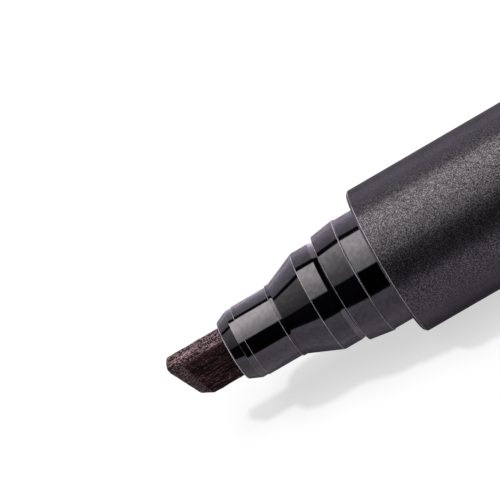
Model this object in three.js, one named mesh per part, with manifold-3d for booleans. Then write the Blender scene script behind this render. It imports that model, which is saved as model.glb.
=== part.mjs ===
// A chisel-point permanent marker, lying on a table with its cap posted on the rear end.
// Millimetres, +Z up. The marker's axis runs along X, with the point towards -X.
// The origin is on the table, under the middle of the marker's outline.
// Inside the marker group, x is 0 at the barrel's front face and the axis is y = z = 0.

import * as THREE from "three";
import { mergeVertices } from "three/addons/utils/BufferGeometryUtils.js";
import Module from "manifold-3d";

const wasm = await Module();
wasm.setup();

// Clearance round every piece that is pushed into or seated on another
const fit = 0.3;

// Barrel: a straight tube with the same stepped seat at both ends
const barrelDiameter = 16.2;
const barrelLength = 88;
const barrelSeatWall = 1.55;
const barrelSeatStep = 0.35;
const barrelEdge = 0.3;

// Shank of the front section and of the rear plug, inside the barrel
const frontShankLength = 12;
const rearShankLength = 10;
const shankBeadHeight = 0.2;
const shankBeadLength = 1.2;
const shankBeadInset = 2.5;

// Collar and snap ring that hold the cap, the same on the neck and on the rear plug
const collarLength = 2.5;
const snapStep = 0.1;
const snapLength = 2.65;
const snapRise = 0.1;
const snapTaper = 0.4;

// Neck, from the snap ring to the nose
const grooveDiameter = 10.75;
const grooveLength = 0.55;
const ringDiameter = 11.04;
const ringLength = 2.1;
const coneLength = 3.5;
const beadDiameter = 8.04;
const beadLength = 0.45;
const noseDiameter = 7.8;
const noseLength = 3.95;
const landDiameter = 7.66;
const landLength = 0.3;
const chamferLength = 1.75;
const rimDiameter = 6.5;
const rimRadius = 0.25;

// Hollows of the neck: a wide chamber, a narrow one, and the channel that grips the nib
const sectionWall = 1.3;
const wideChamberReach = 4.2;
const narrowChamberDiameter = 7.4;
const narrowChamberReach = 8.4;
const ventWidth = 1.2;
const ventDepth = 0.5;

// Nib: a flat bar bevelled from one broad face to an oblique writing edge in mid thickness, and
// rolled off slightly from there to the other, with the edge's long corner rounded
const nibWidth = 5.0;
const nibThickness = 2.9;
const nibCorner = 0.5;
const nibReach = 6.0;
const nibOblique = 0.383;
const nibBevel = 1.73;
const nibRollOff = 0.15;
const nibShoulderOblique = 0.216;
const nibHeelRadius = 0.8;
const nibSoak = 6;
const nibLean = 8;

// Ink reservoir and its film
const filmThickness = 0.2;

// Rear plug's spigot, past its snap ring
const spigotLength = 11;
const spigotStep = 0.1;
const spigotEdge = 0.6;
const plugWall = 1.1;
const plugEndWall = 1.4;

// Cap
const capLength = 39.5;
const capEndDiameter = 15.6;
const capWall = 1.2;
const capEndWall = 1.6;
const capEdge = 1.0;
const capLipLength = 3.1;
const capLeadIn = 0.4;
const capRibCount = 6;
const capRibWidth = 1.0;

// Pocket clip, moulded on the cap
const clipWidth = 6.0;
const clipTipWidth = 4.6;
const clipThickness = 1.5;
const clipGap = 1.5;
const clipTipInset = 7;
const clipRootLength = 4.6;
const clipRootInset = 1.4;
const clipBeadHeight = 0.9;
const clipSink = 0.5;
const clipNoseRadius = 1.2;

// Inner cap
const linerDepth = 12;
const linerWall = 1.1;
const linerFlange = 0.9;
const linerEndWall = 1.0;
const linerLeadIn = 1.0;

// Facets round a full turn, and steps in an arc
const facets = 48;
const coreFacets = 32;
const arcSteps = 3;

const degrees = Math.PI / 180;
const barrelRadius = barrelDiameter / 2;
const seatBore = barrelDiameter - 2 * barrelSeatWall;
const barrelBore = seatBore - 2 * barrelSeatStep;
const shankDiameter = seatBore - 2 * fit;
const snapDiameter = shankDiameter + 2 * snapRise;
const snapFrontDiameter = snapDiameter - 2 * snapTaper;
const spigotDiameter = snapFrontDiameter - 2 * spigotStep;

// Turns corners [radius, x, fillet] into profile points, with an arc at each filleted corner.
function profile(corners) {
  const points = [];
  corners.forEach(([radius, x, fillet = 0], index) => {
    const corner = new THREE.Vector2(radius, x);
    if (fillet === 0) {
      points.push(corner);
      return;
    }
    const last = corners.at(index - 1);
    const next = corners[(index + 1) % corners.length];
    const back = new THREE.Vector2(last[0], last[1]).sub(corner).normalize();
    const ahead = new THREE.Vector2(next[0], next[1]).sub(corner).normalize();
    const half = Math.acos(THREE.MathUtils.clamp(back.dot(ahead), -1, 1)) / 2;
    const centre = back.clone().add(ahead).setLength(fillet / Math.sin(half)).add(corner);
    const start = back.multiplyScalar(fillet / Math.tan(half)).add(corner).sub(centre);
    const end = ahead.multiplyScalar(fillet / Math.tan(half)).add(corner).sub(centre);
    let sweep = end.angle() - start.angle();
    if (sweep > Math.PI) sweep -= 2 * Math.PI;
    if (sweep < -Math.PI) sweep += 2 * Math.PI;
    for (let step = 0; step <= arcSteps; step += 1) {
      const arm = start.clone().rotateAround(new THREE.Vector2(), (sweep * step) / arcSteps);
      points.push(arm.add(centre));
    }
  });
  return points;
}

// Revolves a closed profile about X. A facet, not an edge, faces straight down.
function revolve(corners, sides = facets) {
  const points = profile(corners);
  points.push(points[0].clone());
  return new THREE.LatheGeometry(points, sides, Math.PI / sides).rotateZ(-Math.PI / 2);
}

// Extrudes an outline drawn in (z, y) along X, from x = start to x = end.
function barAlongX(shape, start, end) {
  const options = { depth: end - start, bevelEnabled: false, curveSegments: 2 * arcSteps };
  return new THREE.ExtrudeGeometry(shape, options).rotateY(Math.PI / 2).translate(start, 0, 0);
}

function roundedRectangle(width, height, corner) {
  const right = width / 2 - corner;
  const top = height / 2 - corner;
  const shape = new THREE.Shape();
  shape.absarc(right, top, corner, 0, Math.PI / 2);
  shape.absarc(-right, top, corner, Math.PI / 2, Math.PI);
  shape.absarc(-right, -top, corner, Math.PI, 1.5 * Math.PI);
  shape.absarc(right, -top, corner, 1.5 * Math.PI, 2 * Math.PI);
  shape.closePath();
  return shape;
}

function toManifold(geometry) {
  const bare = geometry.clone();
  bare.deleteAttribute("normal");
  bare.deleteAttribute("uv");
  const merged = mergeVertices(bare, 1e-5);
  const corners = merged.index.array;
  const kept = [];
  for (let i = 0; i < corners.length; i += 3) {
    const [a, b, c] = [corners[i], corners[i + 1], corners[i + 2]];
    if (a !== b && b !== c && c !== a) kept.push(a, b, c);
  }
  return new wasm.Manifold(
    new wasm.Mesh({
      numProp: 3,
      vertProperties: new Float32Array(merged.attributes.position.array),
      triVerts: new Uint32Array(kept),
    }),
  );
}

function toGeometry(solid) {
  const mesh = solid.getMesh();
  const geometry = new THREE.BufferGeometry();
  geometry.setAttribute("position", new THREE.BufferAttribute(mesh.vertProperties, 3));
  geometry.setIndex(new THREE.BufferAttribute(mesh.triVerts, 1));
  geometry.computeVertexNormals();
  return geometry;
}

function piece(name, geometry, color, roughness) {
  const material = new THREE.MeshStandardMaterial({ color, roughness, metalness: 0 });
  const mesh = new THREE.Mesh(geometry, material);
  mesh.name = name;
  return mesh;
}

// The shank's retaining bead, from x = start towards the barrel's middle (sign +1 or -1).
// grow widens it into the groove that takes it.
function beadCorners(start, sign, grow = 0) {
  const base = shankDiameter / 2 + grow;
  const top = base + shankBeadHeight;
  const ramp = shankBeadHeight;
  const first = start - sign * grow;
  const last = start + sign * (shankBeadLength + grow);
  return [
    [base, first],
    [top, first + sign * ramp],
    [top, last - sign * ramp],
    [base, last],
  ];
}

const frontBeadStart = frontShankLength - shankBeadInset - shankBeadLength;
const rearBeadStart = barrelLength - (rearShankLength - shankBeadInset - shankBeadLength);

function makeBarrel() {
  const corners = [
    [seatBore / 2, 0],
    [barrelRadius, 0, barrelEdge],
    [barrelRadius, barrelLength, barrelEdge],
    [seatBore / 2, barrelLength],
    ...beadCorners(rearBeadStart, -1, fit),
    [seatBore / 2, barrelLength - rearShankLength - fit],
    [barrelBore / 2, barrelLength - rearShankLength - fit],
    [barrelBore / 2, frontShankLength + fit],
    [seatBore / 2, frontShankLength + fit],
    ...beadCorners(frontBeadStart, 1, fit).reverse(),
  ];
  return piece("barrel", revolve(corners), 0x3c3a3e, 0.75);
}

// Outline of the collar and snap ring that hold the cap, from the barrel's end outwards.
function snapCorners(face, sign) {
  const step = face + sign * collarLength;
  return [
    [shankDiameter / 2, step],
    [snapDiameter / 2, step + sign * snapStep],
    [snapFrontDiameter / 2, step + sign * (snapStep + snapLength)],
  ];
}

// Places along the neck, as distances in front of the barrel
const snapEnd = collarLength + snapStep + snapLength;
const ringStart = snapEnd + grooveLength;
const coneStart = ringStart + ringLength;
const beadStart = coneStart + coneLength;
const noseStart = beadStart + beadLength;
const landStart = noseStart + noseLength;
const chamferStart = landStart + landLength;
const rimFace = chamferStart + chamferLength;
const chamberBore = shankDiameter - 2 * sectionWall;

function makeFrontSection() {
  const corners = [
    [0, frontShankLength - fit],
    [0, -rimFace],
    [rimDiameter / 2, -rimFace, rimRadius],
    [landDiameter / 2, -chamferStart],
    [landDiameter / 2, -landStart],
    [noseDiameter / 2, -landStart],
    [noseDiameter / 2, -noseStart],
    [beadDiameter / 2, -noseStart],
    [beadDiameter / 2, -beadStart],
    [ringDiameter / 2, -coneStart],
    [ringDiameter / 2, -ringStart],
    [grooveDiameter / 2, -ringStart + grooveLength / 4],
    [grooveDiameter / 2, -ringStart + grooveLength / 2],
    ...snapCorners(0, -1).reverse(),
    ...beadCorners(frontBeadStart, 1),
    [shankDiameter / 2, frontShankLength - fit],
  ];
  const rear = frontShankLength;
  const chambers = [
    [0, rear],
    [0, -narrowChamberReach],
    [narrowChamberDiameter / 2, -narrowChamberReach],
    [narrowChamberDiameter / 2, -wideChamberReach],
    [chamberBore / 2, -wideChamberReach + (chamberBore - narrowChamberDiameter) / 2],
    [chamberBore / 2, rear],
  ];
  const channel = roundedRectangle(nibWidth + 2 * fit, nibThickness + 2 * fit, nibCorner + fit);
  const ventReach = nibThickness / 2 + fit + ventDepth;
  const vent = roundedRectangle(ventWidth, ventReach, fit);
  const cuts = [
    [channel, 0],
    [vent, ventReach / 2],
  ].map(([shape, shift]) => {
    const bar = barAlongX(shape, -rimFace - 1, -narrowChamberReach + 1);
    return toManifold(bar.translate(0, shift, 0).rotateX(nibTurn));
  });
  const solid = toManifold(revolve(corners))
    .subtract(toManifold(revolve(chambers)))
    .subtract(cuts[0])
    .subtract(cuts[1]);
  return piece("front_section", toGeometry(solid), 0x0c0c0e, 0.12);
}

const nibTurn = -nibLean * degrees;
const nibEndX = -rimFace - nibReach;
const reservoirStart = frontShankLength;
const nibRear = reservoirStart + nibSoak;

// Half the bar's thickness at a place across its width, inside the rounded corners
function nibHalfThickness(across) {
  const into = Math.abs(across) - (nibWidth / 2 - nibCorner);
  const flat = nibThickness / 2 - nibCorner;
  if (into <= 0) return nibThickness / 2;
  return flat + Math.sqrt(Math.max(0, nibCorner ** 2 - into ** 2));
}

// Where the nib ends, for a place across its width and a share of its half thickness: -1 on the
// bevelled broad face, 0 on the writing edge and 1 on the other broad face. The edge's long
// corner is an arc that meets the bar's narrow side.
function nibEnd(across, share) {
  const edge = nibEndX - nibOblique * across;
  const shoulder = nibEndX + nibBevel - nibShoulderOblique * across;
  const rollOff = nibRollOff * Math.max(0, share) ** 2;
  const cut = edge + (shoulder - edge) * Math.max(0, -share) + rollOff;
  const arcAcross = nibWidth / 2 - nibHeelRadius;
  const tangent = arcAcross - nibHeelRadius * Math.sin(Math.atan(nibOblique));
  if (across < tangent) return cut;
  const arcMiddle = nibHeelRadius * Math.hypot(1, nibOblique) - nibOblique * arcAcross;
  const rise = Math.sqrt(Math.max(0, nibHeelRadius ** 2 - (across - arcAcross) ** 2));
  return Math.max(cut, nibEndX + arcMiddle - rise + rollOff);
}

// The nib's skin: rows across the width, each going round from one broad face to the other.
function makeNib() {
  const arc = 2 * arcSteps;
  const rows = [];
  for (let step = 0; step <= arc; step += 1) {
    const turn = ((step / arc) * Math.PI) / 2;
    rows.push(nibWidth / 2 - nibCorner * (1 - Math.sin(turn)));
  }
  const middle = [-0.6, -0.2, 0.2, 0.5, 0.7, 0.78, 0.85, 0.93];
  const flat = middle.map((share) => share * (nibWidth / 2 - nibCorner));
  const across = [...rows.map((value) => -value).reverse(), ...flat, ...rows];
  const shares = [-1, -0.7, -0.35, 0, 0.35, 0.7, 1];
  const positions = [];
  for (const x of [nibEnd, () => nibRear]) {
    for (const place of across) {
      for (const share of shares) {
        positions.push(x(place, share), share * nibHalfThickness(place), place);
      }
    }
  }
  const wide = shares.length;
  const high = across.length;
  const at = (end, row, column) => (end * high + row) * wide + column;
  const index = [];
  const quad = (a, b, c, d) => index.push(a, b, c, a, c, d);
  for (let row = 0; row + 1 < high; row += 1) {
    for (let column = 0; column + 1 < wide; column += 1) {
      const low = [at(0, row, column), at(0, row, column + 1)];
      const top = [at(0, row + 1, column), at(0, row + 1, column + 1)];
      quad(low[0], top[0], top[1], low[1]);
      const rear = high * wide;
      quad(low[0] + rear, low[1] + rear, top[1] + rear, top[0] + rear);
    }
    quad(at(0, row, 0), at(1, row, 0), at(1, row + 1, 0), at(0, row + 1, 0));
    const last = wide - 1;
    quad(at(0, row + 1, last), at(1, row + 1, last), at(1, row, last), at(0, row, last));
  }
  for (let column = 0; column + 1 < wide; column += 1) {
    const top = high - 1;
    quad(at(0, 0, column + 1), at(1, 0, column + 1), at(1, 0, column), at(0, 0, column));
    quad(at(0, top, column), at(1, top, column), at(1, top, column + 1), at(0, top, column + 1));
  }
  const geometry = new THREE.BufferGeometry();
  geometry.setAttribute("position", new THREE.Float32BufferAttribute(positions, 3));
  geometry.setIndex(index);
  const nib = piece("nib", geometry, 0x2b2124, 0.95);
  nib.rotation.x = nibTurn;
  return nib;
}

const filmOuter = barrelBore - 2 * fit;
const filmInner = filmOuter - 2 * filmThickness;
const coreDiameter = filmInner - 2 * fit;
const reservoirEnd = barrelLength - rearShankLength;

function makeReservoir() {
  const start = reservoirStart;
  const core = [
    [0, reservoirEnd - fit],
    [0, start],
    [coreDiameter / 2, start],
    [coreDiameter / 2, reservoirEnd - fit],
  ];
  const slot = roundedRectangle(nibWidth + 2 * fit, nibThickness + 2 * fit, nibCorner + fit);
  const pocket = barAlongX(slot, start - 1, nibRear + fit).rotateX(nibTurn);
  const solid = toManifold(revolve(core, coreFacets)).subtract(toManifold(pocket));
  return piece("ink_reservoir", toGeometry(solid), 0x322c3a, 1);
}

function makeFilm() {
  const corners = [
    [filmInner / 2, reservoirStart],
    [filmOuter / 2, reservoirStart],
    [filmOuter / 2, reservoirEnd - fit],
    [filmInner / 2, reservoirEnd - fit],
  ];
  return piece("reservoir_film", revolve(corners, coreFacets), 0xd9dde0, 0.3);
}

function makeRearPlug() {
  const inner = spigotDiameter / 2 - plugWall;
  const rear = barrelLength + spigotLength;
  const snap = snapCorners(barrelLength, 1);
  const corners = [
    [inner, reservoirEnd],
    [shankDiameter / 2, reservoirEnd],
    ...beadCorners(rearBeadStart, -1).reverse(),
    ...snap,
    [spigotDiameter / 2, snap.at(-1)[1]],
    [spigotDiameter / 2, rear, spigotEdge],
    [0, rear],
    [0, rear - plugEndWall],
    [inner, rear - plugEndWall, spigotEdge],
  ];
  return piece("rear_plug", revolve(corners), 0x111113, 0.3);
}

// Cap, drawn from its mouth (depth 0) to its closed end. Its rim seats on the barrel's rear face.
const capMouth = barrelLength + fit;
const lipBore = snapDiameter + 2 * fit;
const capBore = barrelDiameter - 2 * capWall;
const linerBore = noseDiameter + 2 * fit;
const linerOuter = linerBore + 2 * linerWall;
const linerStart = linerDepth + fit;
const linerEnd = capLength - capEndWall - fit;
const clipRadius = barrelRadius + clipGap + clipThickness;
const clipHalfWidth = clipWidth / 2;

// The marker lies on its barrel and on the clip's lower edge. This is the clip's angle below
// the horizontal, seen along the axis.
const clipAngle =
  Math.asin(barrelRadius / Math.hypot(clipRadius, clipHalfWidth)) -
  Math.atan2(clipHalfWidth, clipRadius);

function makeClip() {
  const root = capLength - clipRootInset;
  const under = barrelRadius + clipGap;
  const sunk = capEndDiameter / 2 - clipSink;
  const side = new THREE.Shape();
  side.moveTo(root, sunk);
  side.lineTo(root, clipRadius - clipNoseRadius);
  side.quadraticCurveTo(root, clipRadius, root - clipNoseRadius, clipRadius);
  side.lineTo(clipTipInset + clipNoseRadius, clipRadius);
  side.quadraticCurveTo(clipTipInset, clipRadius, clipTipInset, clipRadius - clipNoseRadius);
  side.lineTo(clipTipInset, under);
  const bead = under - clipBeadHeight;
  side.quadraticCurveTo(clipTipInset + 0.1, bead, clipTipInset + clipThickness, bead);
  const beadEnd = clipTipInset + 3 * clipThickness;
  side.quadraticCurveTo(clipTipInset + 2 * clipThickness, bead, beadEnd, under);
  side.lineTo(root - clipRootLength - clipGap, under);
  side.quadraticCurveTo(root - clipRootLength, under, root - clipRootLength, under - clipGap);
  side.lineTo(root - clipRootLength, sunk);
  side.closePath();

  const tipHalfWidth = clipTipWidth / 2;
  const plan = new THREE.Shape();
  plan.moveTo(capLength, -clipHalfWidth);
  plan.lineTo(capLength, clipHalfWidth);
  plan.lineTo(clipTipInset + tipHalfWidth, tipHalfWidth);
  plan.absarc(clipTipInset + tipHalfWidth, 0, tipHalfWidth, Math.PI / 2, 1.5 * Math.PI);
  plan.closePath();

  const options = { bevelEnabled: false, curveSegments: 2 * arcSteps };
  const sideBar = new THREE.ExtrudeGeometry(side, { ...options, depth: 2 * clipWidth });
  sideBar.translate(0, 0, -clipWidth).rotateX(Math.PI / 2);
  const planBar = new THREE.ExtrudeGeometry(plan, { ...options, depth: 2 * clipRadius });
  return toManifold(sideBar).intersect(toManifold(planBar));
}

function makeCapShell() {
  const inside = capLength - capEndWall;
  const taper = (barrelDiameter - capEndDiameter) / 2;
  const boreEnd = capBore / 2 - taper;
  const corners = [
    [lipBore / 2 + capLeadIn, 0],
    [barrelRadius, 0, barrelEdge],
    [capEndDiameter / 2, capLength, capEdge],
    [0, capLength],
    [0, inside],
    [boreEnd, inside, capEdge / 2],
    [capBore / 2, capLipLength + capLeadIn],
    [lipBore / 2, capLipLength],
    [lipBore / 2, capLeadIn],
  ];
  let solid = toManifold(revolve(corners));
  const ribInner = linerOuter / 2 + fit;
  const ribStart = linerStart + linerFlange + fit;
  const ribHeight = capBore / 2 + capWall / 2 - ribInner;
  for (let rib = 0; rib < capRibCount; rib += 1) {
    const bar = new THREE.BoxGeometry(inside + capEndWall / 2 - ribStart, capRibWidth, ribHeight - taper);
    bar.translate((inside + capEndWall / 2 + ribStart) / 2, 0, ribInner + (ribHeight - taper) / 2);
    solid = solid.add(toManifold(bar.rotateX((rib * 2 * Math.PI) / capRibCount)));
  }
  const clip = toGeometry(makeClip()).rotateX(-Math.PI / 2 - clipAngle);
  solid = solid.add(toManifold(clip));
  return piece("cap_shell", toGeometry(solid), 0x18171a, 0.35);
}

function makeInnerCap() {
  const flange = capBore / 2 - (barrelDiameter - capEndDiameter) / 2 - fit;
  const corners = [
    [linerBore / 2 + linerLeadIn, linerStart],
    [flange, linerStart],
    [flange, linerStart + linerFlange],
    [linerOuter / 2, linerStart + linerFlange],
    [linerOuter / 2, linerEnd, linerWall / 2],
    [0, linerEnd],
    [0, linerEnd - linerEndWall],
    [linerBore / 2, linerEnd - linerEndWall],
    [linerBore / 2, linerStart + linerLeadIn],
  ];
  return piece("inner_cap", revolve(corners, coreFacets), 0xe4e4df, 0.5);
}

const cap = new THREE.Group();
cap.add(makeCapShell(), makeInnerCap());
cap.position.x = capMouth;

const marker = new THREE.Group();
marker.add(makeBarrel(), makeFrontSection(), makeNib());
marker.add(makeReservoir(), makeFilm(), makeRearPlug(), cap);

// The marker is set down so that the origin lies under the middle of its outline.
const farEnd = capMouth + capLength;
const clipReach = clipRadius * Math.cos(clipAngle) + clipHalfWidth * Math.sin(clipAngle);
const nibTip = nibEnd(nibWidth / 2 - nibHeelRadius, 0);
marker.position.set(-(nibTip + farEnd) / 2, (barrelRadius - clipReach) / 2, barrelRadius);

const model = new THREE.Group();
model.add(marker);
export default model;
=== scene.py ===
import math

import bmesh
import bpy
from mathutils import Matrix, Vector, noise


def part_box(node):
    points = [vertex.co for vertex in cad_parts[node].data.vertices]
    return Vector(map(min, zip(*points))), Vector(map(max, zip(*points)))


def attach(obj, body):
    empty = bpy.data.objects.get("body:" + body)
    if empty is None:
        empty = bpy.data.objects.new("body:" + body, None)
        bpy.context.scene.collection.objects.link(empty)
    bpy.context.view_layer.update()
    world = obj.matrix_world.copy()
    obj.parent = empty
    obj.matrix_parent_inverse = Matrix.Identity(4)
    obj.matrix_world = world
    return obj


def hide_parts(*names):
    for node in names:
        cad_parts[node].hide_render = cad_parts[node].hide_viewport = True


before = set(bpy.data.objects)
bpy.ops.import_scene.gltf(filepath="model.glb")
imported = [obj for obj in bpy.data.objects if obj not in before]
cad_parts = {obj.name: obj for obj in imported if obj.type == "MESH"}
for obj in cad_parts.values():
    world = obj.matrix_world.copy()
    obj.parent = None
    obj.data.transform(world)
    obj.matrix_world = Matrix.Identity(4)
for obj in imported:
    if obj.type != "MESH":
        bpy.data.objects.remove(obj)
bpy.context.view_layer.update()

# The studio: a white table top under a large overhead soft light, with white walls behind and to
# the sides. The room behind the camera is unlit, and the polished neck shows it as a black band.
MM = 0.001
barrel_low, barrel_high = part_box("barrel")
barrel_radius = (barrel_high[1] - barrel_low[1]) / 2 / MM
axis_y = (barrel_low[1] + barrel_high[1]) / 2
axis_z = (barrel_low[2] + barrel_high[2]) / 2
front_face = barrel_low[0]

scene = bpy.context.scene
scene.view_settings.view_transform = "Standard"


class Nodes:
    """Adds nodes to a material, world or group, and links their sockets."""

    def __init__(self, tree):
        self.tree = tree

    def add(self, kind, values=None, **settings):
        node = self.tree.nodes.new(kind)
        for key, value in settings.items():
            setattr(node, key, value)
        for name, value in (values or {}).items():
            self.put(node, name, value)
        return node

    def put(self, node, name, value):
        socket = node.inputs[name]
        if isinstance(value, bpy.types.NodeSocket):
            self.tree.links.new(value, socket)
        else:
            socket.default_value = value

    def math(self, operation, a, b=0.0, clamp=False):
        node = self.add("ShaderNodeMath", {0: a, 1: b}, operation=operation, use_clamp=clamp)
        return node.outputs[0]

    def ramp(self, value, low, high, start=0.0, end=1.0):
        values = {"Value": value, "From Min": low, "From Max": high, "To Min": start, "To Max": end}
        node = self.add("ShaderNodeMapRange", values, interpolation_type="SMOOTHSTEP")
        return node.outputs["Result"]

    def mix(self, factor, a, b):
        node = self.add("ShaderNodeMix", {0: factor, 6: a, 7: b}, data_type="RGBA")
        return node.outputs[2]

    def scaled(self, vector, scale):
        node = self.add("ShaderNodeVectorMath", {0: vector, 1: scale}, operation="MULTIPLY")
        return node.outputs[0]


def blank(tree):
    """Empties a node tree, to be filled by hand."""
    tree.nodes.clear()
    return Nodes(tree)


def seen_ray(n):
    """1 for what the camera sees, directly or in a reflection or through clear plastic."""
    path = n.add("ShaderNodeLightPath")
    seen = n.math("MAXIMUM", path.outputs["Is Camera Ray"], path.outputs["Is Glossy Ray"])
    return n.math("MAXIMUM", seen, path.outputs["Is Transmission Ray"])


def build_world():
    """The room, by direction from the marker: as light on it, and as what is seen and mirrored."""
    world = bpy.data.worlds.new("studio")
    world.use_nodes = True
    n = blank(world.node_tree)
    direction = n.add("ShaderNodeTexCoord").outputs["Generated"]
    along, back, up = n.add("ShaderNodeSeparateXYZ", {"Vector": direction}).outputs
    # Angle round the marker's axis: 0 is level towards the camera's side, 90 straight up
    turn = n.math("ARCTAN2", up, n.math("MULTIPLY", back, -1.0))
    turn = n.math("MULTIPLY", turn, 180 / math.pi)
    side = n.math("ABSOLUTE", along)
    box_level, wall_level, lighting_share = 5.8, 0.2, 0.6
    # The soft box hangs between 48 and 120 degrees, brightest over the marker, and dims sideways
    box_turn = n.math("MULTIPLY", n.ramp(turn, 46, 50), n.ramp(turn, 119, 122, 1.0, 0.0))
    soft_box = n.math("MULTIPLY", box_turn, n.ramp(turn, 50, 105, 0.4, 1.0))
    soft_box = n.math("MULTIPLY", soft_box, n.ramp(along, -0.42, -0.22, 0.3, 1.0))
    soft_box = n.math("MULTIPLY", soft_box, n.ramp(along, -0.9, -0.45, 0.3, 1.0))
    soft_box = n.math("MULTIPLY", soft_box, n.ramp(along, -0.05, 0.15, 1.0, 0.0))
    # Unlit: the narrow gap behind the soft box, and the room on the camera's side
    gap = n.math("MULTIPLY", n.ramp(turn, 119, 122), n.ramp(turn, 130, 134, 1.0, 0.0))
    unlit = n.math("MULTIPLY", n.ramp(turn, -30, -25), n.ramp(turn, 46, 50, 1.0, 0.0))
    unlit = n.math("MAXIMUM", gap, unlit)
    unlit = n.math("MULTIPLY", unlit, n.ramp(side, 0.8, 0.95, 1.0, 0.0))
    wall = n.math("SUBTRACT", 1.0, unlit)
    box_light = n.math("MULTIPLY", soft_box, box_level)
    room = n.math("ADD", n.math("MULTIPLY", wall, wall_level), box_light)
    level = n.math("MULTIPLY", room, lighting_share)
    lighting = n.add("ShaderNodeBackground", {"Color": (1, 1, 1, 1), "Strength": level})
    # What is seen, directly or mirrored, has white walls all round apart from the unlit parts
    bright = n.math("MULTIPLY", n.ramp(turn, 130, 134), n.ramp(turn, 46, 50))
    bright = n.math("MAXIMUM", bright, n.ramp(side, 0.8, 0.95))
    bright = n.math("MAXIMUM", bright, n.ramp(turn, -30, -60))
    # Polished plastic shows the dark past the soft box's rear end in the floor of the neck's groove
    past = n.math("MULTIPLY", box_turn, n.ramp(along, -0.05, 0.15))
    shown = n.math("MULTIPLY", room, n.math("SUBTRACT", 1.0, past))
    shown = n.math("MAXIMUM", shown, bright)
    # Polished plastic shows the soft box nearly white, and the walls with a faint violet cast
    cast = n.mix(n.ramp(turn, 117, 134), (1.02, 0.94, 1.0, 1), (1.0, 0.9, 1.11, 1))
    camera_ray = n.add("ShaderNodeLightPath").outputs["Is Camera Ray"]
    cast = n.mix(camera_ray, cast, (1, 1, 1, 1))
    backdrop = n.add("ShaderNodeBackground", {"Color": cast, "Strength": shown})
    mixed = n.add("ShaderNodeMixShader", {0: seen_ray(n)})
    n.put(mixed, 1, lighting.outputs[0])
    n.put(mixed, 2, backdrop.outputs[0])
    n.add("ShaderNodeOutputWorld", {"Surface": mixed.outputs[0]})
    scene.world = world


def build_table():
    """The white table top that the marker lies on, wide enough for a view from any side."""
    reach = 30.0
    mesh = bpy.data.meshes.new("table_top")
    corners = [(-reach, -reach, 0), (reach, -reach, 0), (reach, reach, 0), (-reach, reach, 0)]
    mesh.from_pydata(corners, [], [(0, 1, 2, 3)])
    top = bpy.data.objects.new("table_top", mesh)
    scene.collection.objects.link(top)
    material = bpy.data.materials.new("table_paper")
    material.use_nodes = True
    n = blank(material.node_tree)
    paper = n.add("ShaderNodeBsdfPrincipled", {"Roughness": 0.9})
    # White to the camera. What the polished neck mirrors of the paper is a painted glow: painted
    # shade, dim below the marker, and painted light, brighter further out, most of all behind the
    # marker, with a painted violet cast like the walls'
    white_glow = 0.61
    place = n.add("ShaderNodeTexCoord").outputs["Object"]
    across = n.add("ShaderNodeSeparateXYZ", {"Vector": place}).outputs[1]
    behind = n.math("SUBTRACT", across, axis_y)
    away = n.math("ABSOLUTE", behind)
    painted_shade_below = n.ramp(away, 0, 10 * MM, 0.09, 0.43)
    mirrored = n.math("ADD", painted_shade_below, n.ramp(away, 10 * MM, 40 * MM, 0, 0.25))
    mirrored = n.math("ADD", mirrored, n.ramp(behind, 10 * MM, 50 * MM, 0, 0.6))
    camera_ray = n.add("ShaderNodeLightPath").outputs["Is Camera Ray"]
    # Its far part on the camera's side is painted black for all but camera rays: a painted shade
    # standing in for the unlit room beyond it
    clear_of_painted_dark = n.ramp(behind, -145 * MM, -135 * MM)
    mirrored = n.math("MULTIPLY", mirrored, clear_of_painted_dark)
    clear_of_painted_dark = n.math("MAXIMUM", clear_of_painted_dark, camera_ray)
    n.put(paper, "Base Color", n.mix(clear_of_painted_dark, (0, 0, 0, 1), (0.42, 0.42, 0.425, 1)))
    extra = n.math("MULTIPLY", n.math("SUBTRACT", white_glow, mirrored), camera_ray)
    strength = n.math("ADD", extra, mirrored)
    strength = n.math("MULTIPLY", seen_ray(n), strength)
    cast = n.mix(camera_ray, (1.0, 0.79, 1.12, 1), (1, 1, 1, 1))
    glow = n.add("ShaderNodeEmission", {"Color": cast, "Strength": strength})
    both = n.add("ShaderNodeAddShader", {0: paper.outputs[0], 1: glow.outputs[0]})
    n.add("ShaderNodeOutputMaterial", {"Surface": both.outputs[0]})
    mesh.materials.append(material)


def build_camera():
    """Looks down on the neck from the marker's side, a little from its rear end, and rolled so
    that the marker lies at a slant in the picture."""
    towards_rear = math.radians(6.6)
    elevation = math.radians(38)
    roll = math.radians(30.2)
    picture = 50 * MM
    centre_along, centre_across = -11.15 * MM, 7.86 * MM
    lens, sensor = 500.0, 36.0
    look = Vector((
        math.sin(towards_rear),
        -math.cos(towards_rear) * math.cos(elevation),
        math.cos(towards_rear) * math.sin(elevation),
    ))
    along = (Vector((1, 0, 0)) - look * look.x).normalized()
    across = look.cross(along)
    right = along * math.cos(roll) - across * math.sin(roll)
    upward = along * math.sin(roll) + across * math.cos(roll)
    centre = Vector((front_face, axis_y, axis_z)) + along * centre_along + across * centre_across
    data = bpy.data.cameras.new("camera")
    data.lens = lens
    data.sensor_width = sensor
    data.clip_start = 0.01
    data.clip_end = 100
    view = bpy.data.objects.new("camera", data)
    distance = picture / 2 / (sensor / 2 / lens)
    place = Matrix((right, upward, look)).transposed().to_4x4()
    place.translation = centre + look * distance
    view.matrix_world = place
    scene.collection.objects.link(view)
    scene.camera = view


def build_key_light():
    """A distant soft lamp behind the marker, which throws its shadow towards the camera's side."""
    data = bpy.data.lights.new("key_light", "SUN")
    data.energy = 1.45
    data.angle = math.radians(7)
    light = bpy.data.objects.new("key_light", data)
    light.rotation_euler = Vector((0.45, -0.12, -1.0)).to_track_quat("-Z", "Y").to_euler()
    light.visible_glossy = False
    scene.collection.objects.link(light)


build_world()
build_table()
build_camera()
build_key_light()

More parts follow.
